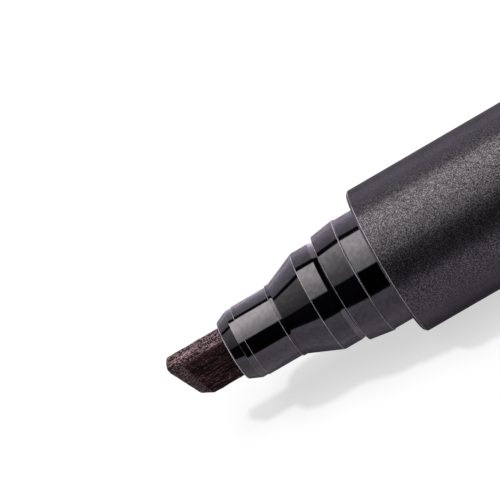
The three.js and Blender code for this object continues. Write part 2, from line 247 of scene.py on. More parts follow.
# Barrel: a tube moulded in black polypropylene, with the fine grain of a spark-eroded mould on its
# outside. Both ends carry the same polished seat and groove, which the front section and the rear
# plug snap into.
ring_steps = 256
clearance = 0.3
barrel_length = 88.0
seat_radius = 6.55
bore_radius = 6.2
shank_radius = 6.25
front_shank_length = 12.0
rear_shank_length = 10.0
bead_height = 0.2
bead_length = 1.2
bead_inset = 2.5


def rounded(corners, arc=6, margin=0.06, closed=True):
    """Outline through (radius, x, fillet) corners: an arc at each fillet, and an extra point just
    inside both ends of each long side, which keeps its shading even. Each point is (radius, x,
    edge), where edge is 1 at the top of a rounded edge and 0 away from it."""
    count = len(corners)
    arcs = []
    for i, corner in enumerate(corners):
        here = Vector(corner[:2])
        fillet = corner[2] if len(corner) > 2 else 0
        if not fillet:
            arcs.append([(*here, 0.0)])
            continue
        back = (Vector(corners[i - 1][:2]) - here).normalized()
        ahead = (Vector(corners[(i + 1) % count][:2]) - here).normalized()
        half = math.acos(max(-1, min(1, back.dot(ahead)))) / 2
        centre = here + (back + ahead).normalized() * (fillet / math.sin(half))
        start = here + back * (fillet / math.tan(half)) - centre
        end = here + ahead * (fillet / math.tan(half)) - centre
        sweep = start.angle_signed(end)
        turned = [centre + Matrix.Rotation(-sweep * k / arc, 2) @ start for k in range(arc + 1)]
        arcs.append([(*point, math.sin(math.pi * k / arc)) for k, point in enumerate(turned)])
    points = []
    for i, run in enumerate(arcs):
        points += run
        if i == count - 1 and not closed:
            break
        start, end = Vector(run[-1][:2]), Vector(arcs[(i + 1) % count][0][:2])
        length = (end - start).length
        if length > 3 * margin:
            step = (end - start) / length * margin
            points += [(*(start + step), 0.0), (*(end - step), 0.0)]
    return points


def circles(points):
    """A ring of points about the marker's axis for each outline point, or one point on the axis."""
    rings = []
    for radius, x, edge in points:
        if radius < 1e-6:
            rings.append([(x, 0, 0)])
            continue
        angles = [2 * math.pi * (k + 0.5) / ring_steps for k in range(ring_steps)]
        rings.append([(x, radius * math.sin(a), radius * math.cos(a), edge) for a in angles])
    return rings


def skin(shape, rings, closed=True):
    """Joins rings of points, given in millimetres, into a surface."""
    layer = shape.verts.layers.float.get("edge") or shape.verts.layers.float.new("edge")
    loops = []
    for ring in rings:
        loops.append([shape.verts.new(point[:3]) for point in ring])
        for vert, point in zip(loops[-1], ring):
            vert[layer] = point[3] if len(point) > 3 else 0.0
    pairs = zip(loops, loops[1:] + loops[:1]) if closed else zip(loops, loops[1:])
    for one, two in pairs:
        count = max(len(one), len(two))
        if count == 1:
            continue
        for k in range(count):
            m = (k + 1) % count
            face = []
            for loop, place in ((one, k), (one, m), (two, m), (two, k)):
                vert = loop[place % len(loop)]
                if vert not in face:
                    face.append(vert)
            shape.faces.new(face)


def solid(name, shape, sharp=25):
    """Makes the object from a shape drawn in millimetres about the barrel's axis, with x = 0 at
    the barrel's front face."""
    bmesh.ops.recalc_face_normals(shape, faces=shape.faces)
    mesh = bpy.data.meshes.new(name)
    shape.to_mesh(mesh)
    shape.free()
    mesh.transform(Matrix.Translation((front_face, axis_y, axis_z)) @ Matrix.Scale(MM, 4))
    mesh.shade_smooth()
    mesh.set_sharp_from_angle(angle=math.radians(sharp))
    thing = bpy.data.objects.new(name, mesh)
    scene.collection.objects.link(thing)
    return thing


def turned_piece(name, corners):
    """A piece that is round about the axis, from its closed outline."""
    shape = bmesh.new()
    skin(shape, circles(rounded(corners)))
    return solid(name, shape)


def bead(start, sign, grow=0.0):
    """Outline of the low bead round a shank, or with grow, of the groove that takes it."""
    base = shank_radius + grow
    top = base + bead_height
    first = start - sign * grow
    last = start + sign * (bead_length + grow)
    return [
        (base, first, 0.05),
        (top, first + sign * bead_height, 0.08),
        (top, last - sign * bead_height, 0.08),
        (base, last, 0.05),
    ]


def group(name, inputs, outputs):
    """A shader node group with value inputs and outputs. Returns it, its nodes and its two ends."""
    tree = bpy.data.node_groups.new(name, "ShaderNodeTree")
    for label, value in inputs.items():
        socket = tree.interface.new_socket(label, in_out="INPUT", socket_type="NodeSocketFloat")
        socket.default_value = value
    for label in outputs:
        tree.interface.new_socket(label, in_out="OUTPUT", socket_type="NodeSocketFloat")
    n = Nodes(tree)
    return tree, n, n.add("NodeGroupInput"), n.add("NodeGroupOutput")


def build_moulded_grain():
    """Grain of a spark-eroded mould: fine pits, the glint of each raised grain, most of them faint
    and a few bright, and a slow mottle of where they lie denser."""
    inputs, outputs = {"Grain": 0.12, "Mottle": 2.5}, ("Pits", "Glints", "Mottle")
    tree, n, given, result = group("moulded_grain", inputs, outputs)
    place = n.add("ShaderNodeTexCoord").outputs["Object"]
    scale = n.math("DIVIDE", 1000.0, given.outputs["Grain"])
    values = {"Vector": place, "Scale": scale, "Detail": 1.0, "Roughness": 0.5}
    pits = n.math("MULTIPLY", n.add("ShaderNodeTexNoise", values).outputs[0], 0.65)
    cells = n.add("ShaderNodeTexVoronoi", {"Vector": place, "Scale": scale}, feature="F1")
    n.put(result, "Pits", n.math("ADD", pits, n.math("MULTIPLY", cells.outputs[0], 0.35)))
    chance = n.add("ShaderNodeSeparateColor", {"Color": cells.outputs["Color"]}).outputs[0]
    n.put(result, "Glints", n.math("POWER", chance, 2.4))
    scale = n.math("DIVIDE", 1000.0, given.outputs["Mottle"])
    mottle = n.add("ShaderNodeTexNoise", {"Vector": place, "Scale": scale, "Detail": 4.0})
    n.put(result, "Mottle", n.ramp(mottle.outputs[0], 0.35, 0.65))
    return tree


def build_rub_marks():
    """Marks of handling: scattered hair scratches, most of them along or round the piece, and soft
    patches that are rubbed smoother."""
    tree, n, given, result = group("rub_marks", {"Amount": 0.5}, ("Scratches", "Scuffs"))
    place = n.add("ShaderNodeTexCoord").outputs["Object"]
    scratches, scratch_width = 0.0, 0.007
    for turn, stretch in ((0.2, (45, 420, 420)), (1.35, (45, 420, 380)), (-0.45, (60, 520, 400))):
        values = {"Vector": place, "Rotation": (0.4 * turn, 0.3 * turn, turn)}
        turned = n.add("ShaderNodeMapping", values).outputs[0]
        drawn = n.scaled(turned, stretch)
        lines = n.add("ShaderNodeTexNoise", {"Vector": drawn, "Scale": 1.0, "Detail": 0.0})
        away = n.math("ABSOLUTE", n.math("SUBTRACT", lines.outputs[0], 0.5))
        where = n.add("ShaderNodeTexNoise", {"Vector": drawn, "Scale": 2.3, "Detail": 0.0})
        line = n.ramp(away, 0.0, scratch_width, 1.0, 0.0)
        line = n.math("MULTIPLY", line, n.ramp(where.outputs[0], 0.57, 0.66))
        scratches = n.math("MAXIMUM", line, scratches)
    n.put(result, "Scratches", n.math("MULTIPLY", scratches, given.outputs["Amount"], clamp=True))
    values = {"Vector": place, "Scale": 160.0, "Detail": 5.0, "Roughness": 0.7}
    scuffs = n.ramp(n.add("ShaderNodeTexNoise", values).outputs[0], 0.45, 0.75)
    n.put(result, "Scuffs", n.math("MULTIPLY", scuffs, given.outputs["Amount"], clamp=True))
    return tree


def build_edge_wear():
    """Where handling has rubbed a rounded edge pale, with a painted highlight along the top of the
    rounded edge, as an uneven pale line along it.
    """
    tree, n, given, result = group("edge_wear_and_highlight", {"Spread": 0.5}, ("Wear_and_highlight",))
    edge = n.add("ShaderNodeAttribute", attribute_name="edge").outputs["Fac"]
    place = n.add("ShaderNodeTexCoord").outputs["Object"]
    patches = n.add("ShaderNodeTexNoise", {"Vector": place, "Scale": 420.0, "Detail": 3.0})
    uneven = n.ramp(patches.outputs[0], 0.3, 0.6, 0.35, 1.0)
    low = n.math("SUBTRACT", 1.0, given.outputs["Spread"])
    n.put(result, "Wear_and_highlight", n.math("MULTIPLY", n.ramp(edge, low, 1.0), uneven))
    return tree


moulded_grain = build_moulded_grain()
rub_marks = build_rub_marks()
edge_wear_and_highlight = build_edge_wear()


def finish(name, **values):
    """A material with a Principled shader, whose plain sockets take the values. Returns it, its
    nodes and the shader."""
    material = bpy.data.materials.new(name)
    material.use_nodes = True
    n = blank(material.node_tree)
    sockets = {label.replace("_", " "): value for label, value in values.items()}
    shader = n.add("ShaderNodeBsdfPrincipled", sockets)
    n.add("ShaderNodeOutputMaterial", {"Surface": shader.outputs[0]})
    return material, n, shader


def place_group(n, tree, **values):
    """Places a shader group in a material, with the values that suit its finish."""
    node = n.add("ShaderNodeGroup", node_tree=tree)
    for label, value in values.items():
        n.put(node, label, value)
    return node


def bump(n, shader, height, distance, strength=1.0):
    """Gives the shader its relief, distance millimetres deep."""
    values = {"Height": height, "Distance": distance * MM, "Strength": strength}
    n.put(shader, "Normal", n.add("ShaderNodeBump", values).outputs[0])


def barrel_plastic():
    """Matt black: each grain of the mould's texture catches the light by itself through its coat,
    seen square on, and the surface turns dull at a slant. The grains' glints are also put into
    their colour as painted highlights, and the edges of the mouths are rubbed pale, partly wear and
    partly painted highlight."""
    material, n, shader = finish(
        "barrel_plastic", IOR=1.45, Specular_IOR_Level=0.28, Coat_Roughness=0.28, Coat_IOR=1.8
    )
    grain = place_group(n, moulded_grain, Grain=0.07, Mottle=3.0)
    marks = place_group(n, rub_marks, Amount=0.3)
    worn_and_highlit_edges = place_group(n, edge_wear_and_highlight, Spread=0.9)
    # The grains' lighter colour is partly a painted glint, a painted highlight of each raised grain
    color = n.mix(grain.outputs["Glints"], (0.005, 0.0044, 0.0055, 1), (0.055, 0.049, 0.058, 1))
    color = n.mix(marks.outputs["Scratches"], color, (0.05, 0.047, 0.055, 1))
    # Pale line along the rounded edges: partly rubbed wear, partly a painted highlight
    color = n.mix(worn_and_highlit_edges.outputs["Wear_and_highlight"], color, (0.6, 0.56, 0.61, 1))
    n.put(shader, "Base Color", color)
    facing = n.add("ShaderNodeLayerWeight", {"Blend": 0.5}).outputs["Facing"]
    rough = n.ramp(grain.outputs["Mottle"], 0, 1, 0.2, 0.25)
    rough = n.math("ADD", rough, n.ramp(facing, 0.4, 0.75, 0.0, 0.5))
    rough = n.math("SUBTRACT", rough, n.math("MULTIPLY", marks.outputs["Scuffs"], 0.12))
    n.put(shader, "Roughness", rough)
    glints = n.math("MULTIPLY", grain.outputs["Glints"], n.ramp(facing, 0.15, 0.55, 1.0, 0.0))
    n.put(shader, "Coat Weight", glints)
    bump(n, shader, grain.outputs["Pits"], 0.034)
    return material


def build_barrel():
    chamfer, edge = 0.25, 0.12
    front_bead = front_shank_length - bead_inset - bead_length
    rear_bead = barrel_length - (rear_shank_length - bead_inset - bead_length)
    barrel = turned_piece("barrel_tube", [
        (seat_radius, 0, 0.08),
        (barrel_radius - chamfer, 0),
        (barrel_radius, chamfer, edge),
        (barrel_radius, barrel_length - chamfer, edge),
        (barrel_radius - chamfer, barrel_length),
        (seat_radius, barrel_length, 0.08),
        *bead(rear_bead, -1, clearance),
        (seat_radius, barrel_length - rear_shank_length - clearance, 0.05),
        (bore_radius, barrel_length - rear_shank_length - clearance, 0.05),
        (bore_radius, front_shank_length + clearance, 0.05),
        (seat_radius, front_shank_length + clearance, 0.05),
        *bead(front_bead, 1, clearance)[::-1],
    ])
    barrel.data.materials.append(barrel_plastic())
    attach(barrel, "marker")
    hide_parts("barrel")


build_barrel()

# Front section: black polypropylene moulded in one and polished, pushed into the barrel's front
# end. Its snap ring holds the closed cap, and a channel with an air slot grips the nib.
collar_length = 2.5
snap_step = 0.1
snap_length = 2.65
snap_radius = 6.35
snap_front_radius = 5.95
nib_half_width = 2.5
nib_half_thickness = 1.45
nib_corner = 0.5
nib_turn = math.radians(-8)
edge_round = 0.07
groove_start = collar_length + snap_step + snap_length
ring_start = 5.9
nose_start = 11.85
lip_start = 15.8
lip_end = 16.5


def snap_outline(face, sign):
    """The collar and snap ring, from the barrel's end outwards."""
    step = face + sign * collar_length
    return [
        (shank_radius, step, 0.03),
        (snap_radius, step + sign * snap_step, 2 * edge_round),
        (snap_front_radius, step + sign * (snap_step + snap_length), edge_round),
    ]


def channel_radius(angle, gap, slot_half_width=0.6, slot_depth=0.5):
    """Distance from the axis to the wall of the nib's channel, in the direction of angle from the
    middle of the nib's narrow side. The air slot lies along one broad face."""
    across, through = abs(math.cos(angle)), abs(math.sin(angle))
    wide, thick, corner = nib_half_width + gap, nib_half_thickness + gap, nib_corner + gap
    # Halving between the axis and a place well outside the bar finds the wall
    low, high = 0.0, 9.0
    for _ in range(40):
        middle = (low + high) / 2
        a, t = middle * across, middle * through
        outside = math.hypot(max(0, a - wide + corner), max(0, t - thick + corner)) > corner
        in_slot = math.sin(angle) > 0 and a < slot_half_width and t < thick + slot_depth
        if outside and not in_slot:
            high = middle
        else:
            low = middle
    return low


def channel_ring(x, gap):
    """The wall of the nib's channel at x, with as many points as a circle."""
    ring = []
    for k in range(ring_steps):
        angle = 2 * math.pi * (k + 0.5) / ring_steps
        radius = channel_radius(angle + nib_turn, gap)
        ring.append((x, radius * math.sin(angle), radius * math.cos(angle)))
    return ring


def build_dust():
    """Sparse specks of dust: small round spots of uneven size."""
    tree, n, given, result = group("dust", {"Spacing": 1.2, "Size": 0.06}, ("Specks",))
    place = n.add("ShaderNodeTexCoord").outputs["Object"]
    scale = n.math("DIVIDE", 1000.0, given.outputs["Spacing"])
    cells = n.add("ShaderNodeTexVoronoi", {"Vector": place, "Scale": scale}, feature="F1")
    choice = n.add("ShaderNodeSeparateColor", {"Color": cells.outputs["Color"]}).outputs[0]
    reach = n.math("MULTIPLY", given.outputs["Size"], choice)
    speck = n.math("LESS_THAN", cells.outputs["Distance"], reach)
    n.put(result, "Specks", speck)
    return tree


dust = build_dust()


def neck_plastic():
    """Polished black with a faint cloudy film of handling, and pale lines along its rings, partly
    wear and partly painted highlight.
    """
    material, n, shader = finish(
        "neck_plastic", IOR=1.5, Specular_IOR_Level=0.45, Coat_Roughness=0.04, Coat_IOR=1.5
    )
    marks = place_group(n, rub_marks, Amount=0.5)
    specks = place_group(n, dust, Spacing=1.6, Size=0.05)
    flow = place_group(n, moulded_grain, Grain=0.9, Mottle=4.0)
    film = place_group(n, moulded_grain, Grain=0.12, Mottle=0.5)
    worn_and_highlit_edges = place_group(n, edge_wear_and_highlight, Spread=0.8)
    color = n.mix(flow.outputs["Mottle"], (0.0008, 0.0006, 0.0012, 1), (0.0022, 0.0018, 0.003, 1))
    color = n.mix(specks.outputs["Specks"], color, (0.16, 0.15, 0.15, 1))
    # Pale line along the ring edges: partly rubbed wear, partly a painted highlight
    color = n.mix(worn_and_highlit_edges.outputs["Wear_and_highlight"], color, (0.6, 0.57, 0.61, 1))
    n.put(shader, "Base Color", color)
    facing = n.add("ShaderNodeLayerWeight", {"Blend": 0.5}).outputs["Facing"]
    rough = n.ramp(flow.outputs["Mottle"], 0, 1, 0.05, 0.075)
    rough = n.math("ADD", rough, n.ramp(facing, 0.45, 0.8, 0.0, 0.45))
    rough = n.math("ADD", rough, n.math("MULTIPLY", marks.outputs["Scuffs"], 0.06))
    rough = n.math("ADD", rough, n.math("MULTIPLY", marks.outputs["Scratches"], 0.2))
    n.put(shader, "Roughness", rough)
    cloud = n.math("MULTIPLY", film.outputs["Mottle"], film.outputs["Pits"])
    cloud = n.math("MULTIPLY", cloud, 0.5)
    # The floor of the groove, the nose and its lip are polished further, and shine more. Each
    # band's first and last place are millimetres from the barrel's front face
    place = n.add("ShaderNodeTexCoord").outputs["Object"]
    along = n.add("ShaderNodeSeparateXYZ", {"Vector": place}).outputs[0]
    shine, border, lip_begins = 0.0, 0.04, lip_start + 0.1
    polished = (
        (groove_start + border, ring_start, 0.95),
        (nose_start, lip_begins, 0.3),
        (lip_begins, lip_end, 0.45),
    )
    for first, last, amount in polished:
        front, rear = front_face - last * MM, front_face - first * MM
        band = n.ramp(along, front - border * MM, front)
        band = n.math("MULTIPLY", band, n.ramp(along, rear, rear + border * MM, 1, 0))
        shine = n.math("MAXIMUM", n.math("MULTIPLY", band, amount), shine)
    n.put(shader, "Coat Weight", n.math("ADD", cloud, shine, clamp=True))
    bump(n, shader, flow.outputs["Pits"], 0.004, 0.5)
    return material


def build_front_section():
    cone_start, bead_start, rim = 7.9, 11.4, 17.85
    groove_radius, ring_radius, bead_radius, nose_radius, lip_radius = 5.37, 5.52, 4.02, 3.9, 3.83
    rim_radius, mouth_radius = 3.25, 2.95
    chamber, narrow, wide_reach, narrow_reach = 4.95, 3.7, 4.2, 8.4
    front_bead = front_shank_length - bead_inset - bead_length
    rear = front_shank_length - clearance
    outline = rounded([
        (narrow, -narrow_reach),
        (narrow, -wide_reach, 0.1),
        (chamber, -wide_reach + chamber - narrow, 0.1),
        (chamber, rear, 0.05),
        (shank_radius, rear, 0.1),
        *bead(front_bead, 1)[::-1],
        *snap_outline(0, -1),
        (groove_radius, -groove_start),
        (ring_radius, -ring_start),
        (ring_radius, -cone_start, 4 * edge_round),
        (bead_radius, -bead_start),
        (bead_radius, -nose_start, edge_round),
        (nose_radius, -nose_start),
        (nose_radius, -lip_start, 0.03),
        (lip_radius, -lip_start, 0.03),
        (lip_radius, -lip_end, 0.04),
        (rim_radius, -rim, 0.25),
        (mouth_radius, -rim),
    ], closed=False)
    flared_mouth = (-rim, 0.07), (-rim + 0.05, 0.05), (-narrow_reach, 0.05)
    channel = [channel_ring(x, gap) for x, gap in flared_mouth]
    shape = bmesh.new()
    skin(shape, circles(outline) + channel)
    section = solid("front_section_moulding", shape)
    section.data.materials.append(neck_plastic())
    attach(section, "marker")
    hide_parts("front_section")


build_front_section()

# Nib: a flat bar of pressed and sintered fibre, ground from one broad face to an oblique chisel
# edge and soaked with black ink. It is pushed through the front section until its rear end sits in
# the ink reservoir.
nib_end_x = -23.85
nib_rear_x = 18.0


def bar_half_thickness(across):
    """Half the bar's thickness at a place across its width, inside the rounded corners."""
    into = abs(across) - (nib_half_width - nib_corner)
    if into <= 0:
        return nib_half_thickness
    return nib_half_thickness - nib_corner + math.sqrt(max(0, nib_corner ** 2 - into ** 2))


def nib_end(across, share):
    """Where the bar ends: a bevel from one broad face to an edge in mid thickness, oblique across
    the width, a worn roll-off to the other face, and the edge's long corner rounded."""
    slope, shoulder_slope, bevel, roll_off, heel = 0.383, 0.216, 1.73, 0.15, 0.8
    blend = 12
    edge = nib_end_x - slope * across
    shoulder = nib_end_x + bevel - shoulder_slope * across
    cut = edge + (edge - shoulder) * share if share < 0 else edge + roll_off * share ** 2
    arc_across = nib_half_width - heel
    arc_x = nib_end_x - slope * arc_across + heel * math.hypot(1, slope)
    if across > arc_across - heel * math.sin(math.atan(slope)):
        arc = arc_x - math.sqrt(max(0, heel ** 2 - (across - arc_across) ** 2))
        arc += roll_off * max(0, share) ** 2
        cut = math.log(math.exp(cut * blend) + math.exp(arc * blend)) / blend
    half = bar_half_thickness(across)
    wear, wear_share = 0.14, 0.8
    rim = min((1 - abs(share)) * half, nib_half_width - abs(across))
    into = max(0, wear - rim)
    return cut + (wear - math.sqrt(max(0, wear ** 2 - into ** 2))) * wear_share


def build_pressed_fibre():
    """Lengthwise fibres: streaks along the bar and short broken ends between them."""
    inputs = {"Width": 0.09, "Length": 1.6}
    tree, n, given, result = group("pressed_fibre", inputs, ("Streaks", "Flecks"))
    place = n.add("ShaderNodeTexCoord").outputs["Object"]
    across = n.math("DIVIDE", 1000.0, given.outputs["Width"])
    along = n.math("DIVIDE", 1000.0, given.outputs["Length"])
    stretch = n.add("ShaderNodeCombineXYZ", {"X": along, "Y": across, "Z": across}).outputs[0]
    drawn = n.scaled(place, stretch)
    values = {"Vector": drawn, "Scale": 1.0, "Detail": 3.0, "Roughness": 0.65}
    streaks = n.add("ShaderNodeTexNoise", values)
    n.put(result, "Streaks", n.ramp(streaks.outputs[0], 0.43, 0.57))
    values = {"Vector": n.scaled(drawn, (7, 1, 1)), "Scale": 1.3, "Detail": 4.0, "Roughness": 0.75}
    flecks = n.add("ShaderNodeTexNoise", values)
    n.put(result, "Flecks", n.ramp(flecks.outputs[0], 0.55, 0.6))
    return tree


fibre = build_pressed_fibre()


def nib_fibre():
    """Wet black fibre on the broad faces, and rubbed, drier fibre with open pores on the narrow
    sides and on the ground end. The pale sides and end are partly painted light, the dark broad
    faces partly painted shade, and bright fibre ends are painted glints."""
    material, n, shader = finish(
        "nib_fibre", IOR=1.4, Specular_IOR_Level=0.15, Sheen_Weight=0.06, Sheen_Roughness=0.45
    )
    n.put(shader, "Sheen Tint", (1.0, 0.66, 0.75, 1))
    strands = place_group(n, fibre, Width=0.17, Length=2.4)
    # Pale on the narrow sides and the ground end: partly drier rubbed fibre, partly painted light
    rubbed = n.add("ShaderNodeAttribute", attribute_name="edge").outputs["Fac"]
    # Bright fibre ends in the colour are painted glints, painted highlights of single fibres
    painted_glint_flecks = n.math("MULTIPLY", strands.outputs["Flecks"], strands.outputs["Streaks"])
    wet_fibre_painted_shade = n.mix(strands.outputs["Streaks"], (0.0002, 0.0001, 0.0001, 1), (0.06, 0.023, 0.028, 1))
    wet_fibre_painted_shade = n.mix(painted_glint_flecks, wet_fibre_painted_shade, (0.62, 0.3, 0.34, 1))
    pores = place_group(n, moulded_grain, Grain=0.21, Mottle=1.0)
    between_pores = n.ramp(pores.outputs["Pits"], 0.43, 0.49)
    dry_fibre_painted_light = n.mix(strands.outputs["Streaks"], (0.01, 0.005, 0.006, 1), (0.52, 0.33, 0.36, 1))
    # The dry side's near-white fibre ends are painted glints as well
    dry_fibre_painted_light = n.mix(n.math("MULTIPLY", strands.outputs["Flecks"], 0.95), dry_fibre_painted_light, (1.0, 0.8, 0.83, 1))
    dry_fibre_painted_light = n.mix(between_pores, (0.012, 0.006, 0.007, 1), dry_fibre_painted_light)
    # Dark broad faces and pale sides: partly wet and dry fibre, partly painted shade and painted
    # light
    color = n.mix(rubbed, wet_fibre_painted_shade, dry_fibre_painted_light)
    n.put(shader, "Base Color", color)
    n.put(shader, "Roughness", n.ramp(strands.outputs["Flecks"], 0, 1, 0.8, 0.38))
    height = n.math("ADD", strands.outputs["Streaks"], strands.outputs["Flecks"])
    bump(n, shader, height, 0.09)
    return material


def build_nib():
    def spread(count, half):
        """Places from -half to half, closer together towards both ends."""
        steps = [-1 + 2 * k / (count - 1) for k in range(count)]
        return [half * math.copysign(1 - (1 - abs(s)) ** 1.6, s) for s in steps]

    shape = bmesh.new()
    layer = shape.verts.layers.float.new("edge")
    ground_end = 0.42
    places = spread(57, nib_half_width)
    shares = spread(35, 1.0)
    wide = len(shares)
    faces = []
    for end in (nib_end, lambda across, share: nib_rear_x):
        face = [
            [shape.verts.new((end(a, s), s * bar_half_thickness(a), a)) for s in shares]
            for a in places
        ]
        # The narrow sides and the ground end are marked for a paler colour: partly drier rubbed
        # fibre, partly painted light
        for across, row in zip(places, face):
            for share, vert in zip(shares, row):
                half = bar_half_thickness(across)
                rim = min((1 - abs(share)) * half, nib_half_width - abs(across))
                into_corner = (abs(across) - nib_half_width + nib_corner) / nib_corner
                narrow = max(0, min(1, into_corner)) ** 2.6
                vert[layer] = max(ground_end, narrow) if rim > 0.1 else narrow
        for row, above in zip(face, face[1:]):
            for k in range(wide - 1):
                shape.faces.new((row[k], row[k + 1], above[k + 1], above[k]))
        sides = [row[-1] for row in face[1:-1]], [row[0] for row in face[-2:0:-1]]
        faces.append(face[0] + sides[0] + face[-1][::-1] + sides[1])
    front, rear = faces
    stations = 70
    last = front
    for station in range(1, stations + 1):
        if station == stations:
            ring = rear
        else:
            share = (station / stations) ** 1.9
            ring = [shape.verts.new(f.co.lerp(r.co, share)) for f, r in zip(front, rear)]
            for vert, source in zip(ring, front):
                vert[layer] = source[layer]
        for k in range(len(ring)):
            m = (k + 1) % len(ring)
            shape.faces.new((last[k], last[m], ring[m], ring[k]))
        last = ring
    bmesh.ops.recalc_face_normals(shape, faces=shape.faces)
    shape.normal_update()
    for vert in shape.verts:
        x, y, z = vert.co
        if x > 0:
            continue
        fibres = noise.fractal(Vector((x * 0.8, y * 4, z * 4)), 1.0, 2.0, 3)
        pores = noise.fractal(Vector((x * 3, y * 5, z * 5)), 1.0, 2.0, 2)
        relief = 0.05 * fibres + 0.04 * pores
        vert.co += vert.normal * (min(0, relief) if vert.normal.x < -0.3 else relief)
    lean = Matrix.Rotation(nib_turn, 3, "X")
    bmesh.ops.rotate(shape, cent=(0, 0, 0), matrix=lean, verts=shape.verts)
    nib = solid("nib_bar", shape, sharp=50)
    nib.data.materials.append(nib_fibre())
    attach(nib, "marker")
    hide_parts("nib")


build_nib()

# Ink reservoir: a round core of soft fibre soaked with black ink, inside the barrel between the
# front section and the rear plug. The nib's rear end is pushed into a slot in its front end.


def reservoir_fibre():
    material, n, shader = finish("reservoir_fibre", IOR=1.4)
    strands = place_group(n, fibre, Width=0.05, Length=3.5)
    color = n.mix(strands.outputs["Streaks"], (0.018, 0.014, 0.026, 1), (0.06, 0.048, 0.08, 1))
    color = n.mix(n.math("MULTIPLY", strands.outputs["Flecks"], 0.4), color, (0.11, 0.09, 0.14, 1))
    n.put(shader, "Base Color", color)
    n.put(shader, "Roughness", n.ramp(strands.outputs["Streaks"], 0, 1, 0.95, 0.75))
    bump(n, shader, strands.outputs["Streaks"], 0.05, 0.7)
    return material


def dress(node, material):
    """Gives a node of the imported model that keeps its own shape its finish."""
    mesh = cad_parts[node].data
    mesh.materials.clear()
    mesh.materials.append(material)


dress("ink_reservoir", reservoir_fibre())

# Reservoir film: a sleeve of thin clear plastic film round the fibre core, which keeps the ink off
# the barrel's wall. It is wrapped tight, so it shows fine lengthwise creases.


def film_plastic():
    material, n, shader = finish("film_plastic", IOR=1.5, Transmission_Weight=0.85)
    creases = place_group(n, fibre, Width=0.8, Length=30)
    color = n.mix(creases.outputs["Streaks"], (0.7, 0.74, 0.77, 1), (0.86, 0.88, 0.9, 1))
    n.put(shader, "Base Color", color)
    n.put(shader, "Roughness", n.ramp(creases.outputs["Streaks"], 0, 1, 0.12, 0.24))
    bump(n, shader, creases.outputs["Streaks"], 0.03, 0.5)
    return material


dress("reservoir_film", film_plastic())

# Rear plug: a closed plug moulded in black polypropylene, pushed into the barrel's rear end. It
# carries the same snap ring as the neck, and its spigot takes the posted cap.


def satin_black(name, low, high, rough, grain_size, depth, wear):
    """Black polypropylene from a mould blasted to a satin surface."""
    material, n, shader = finish(name, IOR=1.5)
    grain = place_group(n, moulded_grain, Grain=grain_size, Mottle=3.5)
    marks = place_group(n, rub_marks, Amount=wear)
    specks = place_group(n, dust, Spacing=2.2, Size=0.05)
    worn_and_highlit_edges = place_group(n, edge_wear_and_highlight, Spread=0.6)
    color = n.mix(grain.outputs["Mottle"], (*low, 1), (*high, 1))
    color = n.mix(marks.outputs["Scratches"], color, (0.06, 0.058, 0.062, 1))
    # Faint pale line along the rounded edges: partly rubbed wear, partly a painted highlight
    color = n.mix(n.math("MULTIPLY", worn_and_highlit_edges.outputs["Wear_and_highlight"], 0.6), color, (0.07, 0.067, 0.072, 1))
    color = n.mix(specks.outputs["Specks"], color, (0.16, 0.15, 0.15, 1))
    n.put(shader, "Base Color", color)
    base = n.ramp(grain.outputs["Mottle"], 0, 1, rough, rough + 0.07)
    rubbed = n.math("MULTIPLY", marks.outputs["Scuffs"], 0.1)
    n.put(shader, "Roughness", n.math("SUBTRACT", base, rubbed))
    bump(n, shader, grain.outputs["Pits"], depth, 0.7)
    return material


def build_rear_plug():
    spigot_radius, spigot_length, spigot_edge = 5.85, 11.0, 0.6
    inner, end_wall = 4.75, 1.4
    rear = barrel_length + spigot_length
    front = barrel_length - rear_shank_length
    rear_bead = barrel_length - (rear_shank_length - bead_inset - bead_length)
    snap = snap_outline(barrel_length, 1)
    plug = turned_piece("rear_plug_moulding", [
        (inner, front, 0.05),
        (shank_radius, front, 0.1),
        *bead(rear_bead, -1)[::-1],
        *snap,
        (spigot_radius, snap[-1][1], 0.03),
        (spigot_radius, rear, spigot_edge),
        (0, rear),
        (0, rear - end_wall),
        (inner, rear - end_wall, spigot_edge),
    ])
    plastic = satin_black(
        "plug_plastic", (0.006, 0.006, 0.007), (0.01, 0.0095, 0.011),
        rough=0.24, grain_size=0.2, depth=0.008, wear=0.4,
    )
    plug.data.materials.append(plastic)
    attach(plug, "marker")
    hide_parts("rear_plug")


build_rear_plug()

# Cap: black polypropylene, moulded in one with its pocket clip and with six ribs inside that hold
# the inner cap. It is posted on the rear plug with its mouth against the barrel's rear end.
cap_mouth = barrel_length + clearance
cap_length = 39.5
cap_end_radius = 7.8
cap_wall = 1.2
cap_taper = 0.3
cap_end_wall = 1.6
liner_outer = 5.3
liner_start = 12.3
liner_flange = 0.9
clip_radius = 11.1
clip_half_width = 3.0


